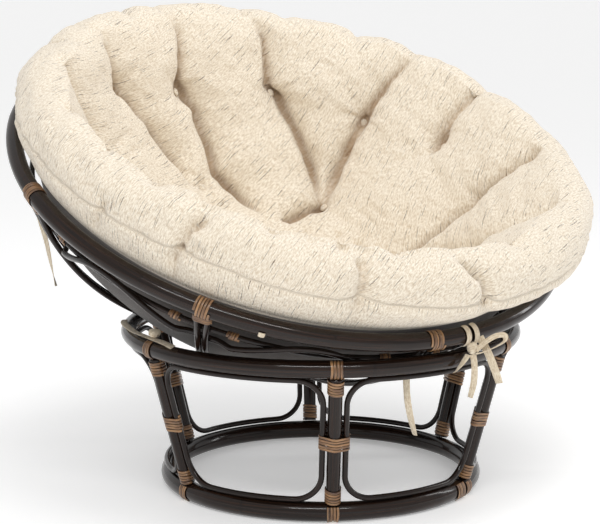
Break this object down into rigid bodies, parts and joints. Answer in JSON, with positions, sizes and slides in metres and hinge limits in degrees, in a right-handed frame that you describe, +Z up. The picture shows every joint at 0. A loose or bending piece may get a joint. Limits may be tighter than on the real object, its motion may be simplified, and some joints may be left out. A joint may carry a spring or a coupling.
{
  "type": "papasan chair",
  "caption": "Round rattan bowl chair: a tilting bowl of bent canes with a deep tufted cushion, resting on an open ring stand.",
  "frame": {"origin": "on the floor, under the middle of the whole chair", "axes": "+Z up, front of the chair towards -Y, +X to the right seen from the front"},
  "size_m": [1.133, 1.049, 0.8909],
  "materials": {
    "stand_lacquer": "dark espresso gloss lacquer on smooth rattan pole",
    "bowl_lacquer": "dark espresso gloss lacquer on smooth rattan cane",
    "peel": "golden brown rattan peel under clear lacquer",
    "cushion_cloth": "cream chenille weave with sparse dark slubs",
    "tie_tape": "cream woven tape"
  },
  "bodies": {
    "stand": {"lower_ring": "stand_lacquer", "upper_ring": "stand_lacquer", "post_1": "stand_lacquer", "post_2": "stand_lacquer", "post_3": "stand_lacquer", "post_4": "stand_lacquer", "post_5": "stand_lacquer", "post_6": "stand_lacquer", "brace_loop_1": "stand_lacquer", "brace_loop_2": "stand_lacquer", "brace_loop_3": "stand_lacquer", "brace_loop_4": "stand_lacquer", "brace_loop_5": "stand_lacquer", "brace_loop_6": "stand_lacquer", "top_lashing_1": "peel", "top_lashing_2": "peel", "top_lashing_3": "peel", "top_lashing_4": "peel", "top_lashing_5": "peel", "top_lashing_6": "peel", "middle_lashing_1": "peel", "middle_lashing_2": "peel", "middle_lashing_3": "peel", "middle_lashing_4": "peel", "middle_lashing_5": "peel", "middle_lashing_6": "peel", "bottom_lashing_1": "peel", "bottom_lashing_2": "peel", "bottom_lashing_3": "peel", "bottom_lashing_4": "peel", "bottom_lashing_5": "peel", "bottom_lashing_6": "peel", "lower_ring_splice_wrap": "peel", "tie_ring_left": "tie_tape", "tie_ring_front_tail": "tie_tape"},
    "bowl": {"rim": "bowl_lacquer", "middle_hoop": "bowl_lacquer", "bottom_hoop": "bowl_lacquer", "petal_cane": "bowl_lacquer", "rib_pair_1": "bowl_lacquer", "rib_pair_2": "bowl_lacquer", "rib_pair_3": "bowl_lacquer", "rib_pair_4": "bowl_lacquer", "rib_pair_5": "bowl_lacquer", "rib_pair_6": "bowl_lacquer", "rib_pair_7": "bowl_lacquer", "rib_pair_8": "bowl_lacquer", "rim_lashing_1": "peel", "rim_lashing_2": "peel", "rim_lashing_3": "peel", "rim_lashing_4": "peel", "rim_lashing_5": "peel", "rim_lashing_6": "peel", "rim_lashing_7": "peel", "rim_lashing_8": "peel", "cushion": "cushion_cloth", "tie_front_tail": "tie_tape", "tie_front_wide_tail": "tie_tape", "tie_left_tail": "tie_tape", "tie_front_knot": "tie_tape"}
  },
  "joints": [
    {"name": "bowl_tilt", "type": "hinge", "parent": "stand", "child": "bowl", "pos_m": [-0.01592, -0.07891, 0.78467], "axis": [1, 0, 0], "range_deg": [-51.3, 0.5]}
  ]
}
